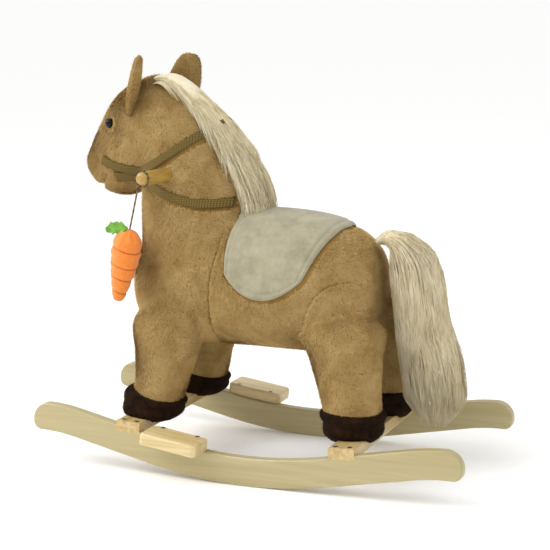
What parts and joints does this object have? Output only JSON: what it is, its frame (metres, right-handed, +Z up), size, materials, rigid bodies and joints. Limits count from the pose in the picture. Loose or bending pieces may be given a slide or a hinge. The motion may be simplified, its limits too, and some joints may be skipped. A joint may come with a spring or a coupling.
{
  "type": "rocking horse",
  "caption": "Plush rocking horse on bowed wooden rockers, with a dowel handle, side footrests, padded saddle, bridle and a soft carrot hanging on a twine from the handle.",
  "frame": {"origin": "on the floor under the middle of the whole object's box", "axes": "+Z up, the horse looks along -X, its left side is towards -Y"},
  "size_m": [0.6992, 0.39, 0.6382],
  "materials": {
    "rocker_wood": "satin clear-lacquered pine board",
    "footrest_wood": "satin clear-lacquered pine",
    "slat_wood": "satin clear-lacquered pine",
    "handle_wood": "satin lacquered birch dowel",
    "frame_wood": "plain sawn softwood",
    "zinc_steel": "zinc-plated, dull",
    "coat_plush": "short brushed pile, golden brown",
    "hoof_plush": "short pile, dark brown",
    "saddle_felt": "padded soft cloth, pale grey-beige",
    "strap_webbing": "woven tape, olive brown",
    "hair_pile": "long pile, cream",
    "eye_plastic": "polished, near black",
    "twine": "two-ply twisted cord, grey-brown",
    "carrot_plush": "short pile, orange",
    "leaf_felt": "thin felt, green"
  },
  "bodies": {
    "horse": {"cheek_strap": "strap_webbing", "ear_left": "coat_plush", "ear_right": "coat_plush", "eyes": "eye_plastic", "footrest_left": "footrest_wood", "footrest_left_screws": "zinc_steel", "footrest_right": "footrest_wood", "footrest_right_screws": "zinc_steel", "fore_cross_board": "frame_wood", "fore_left_hoof": "hoof_plush", "fore_left_leg": "coat_plush", "fore_left_leg_post": "frame_wood", "fore_right_hoof": "hoof_plush", "fore_right_leg": "coat_plush", "fore_right_leg_post": "frame_wood", "front_slat": "slat_wood", "front_slat_screws": "zinc_steel", "handle": "handle_wood", "head": "coat_plush", "hind_cross_board": "frame_wood", "hind_left_hoof": "hoof_plush", "hind_left_leg": "coat_plush", "hind_left_leg_post": "frame_wood", "hind_right_hoof": "hoof_plush", "hind_right_leg": "coat_plush", "hind_right_leg_post": "frame_wood", "leg_bolts": "zinc_steel", "leg_washers": "zinc_steel", "mane": "hair_pile", "mouth_strap": "strap_webbing", "neck": "coat_plush", "neck_post": "frame_wood", "nose_strap": "strap_webbing", "post_screws": "zinc_steel", "rear_slat": "slat_wood", "rear_slat_screws": "zinc_steel", "rein": "strap_webbing", "rocker_left": "rocker_wood", "rocker_right": "rocker_wood", "saddle": "saddle_felt", "spine_board": "frame_wood", "spine_screws": "zinc_steel", "tail": "hair_pile", "torso": "coat_plush"},
    "twine_loop": {"twine_loop": "twine"},
    "twine": {"carrot_twine": "twine"},
    "carrot": {"carrot": "carrot_plush", "carrot_leaf": "leaf_felt"}
  },
  "joints": [
    {"name": "loop_swing", "type": "hinge", "parent": "horse", "child": "twine_loop", "pos_m": [-0.16376, -0.12632, 0.455], "axis": [0.2028, 0.9792, 0], "range_deg": [0, 60]},
    {"name": "twine_swing", "type": "hinge", "parent": "twine_loop", "child": "twine", "pos_m": [-0.17123, -0.12477, 0.44326], "axis": [-0.9792, 0.2028, 0], "range_deg": [0, 45]},
    {"name": "carrot_tilt", "type": "hinge", "parent": "twine", "child": "carrot", "pos_m": [-0.18906, -0.12108, 0.3767], "axis": [0.2028, 0.9792, 0], "range_deg": [0, 35]}
  ]
}
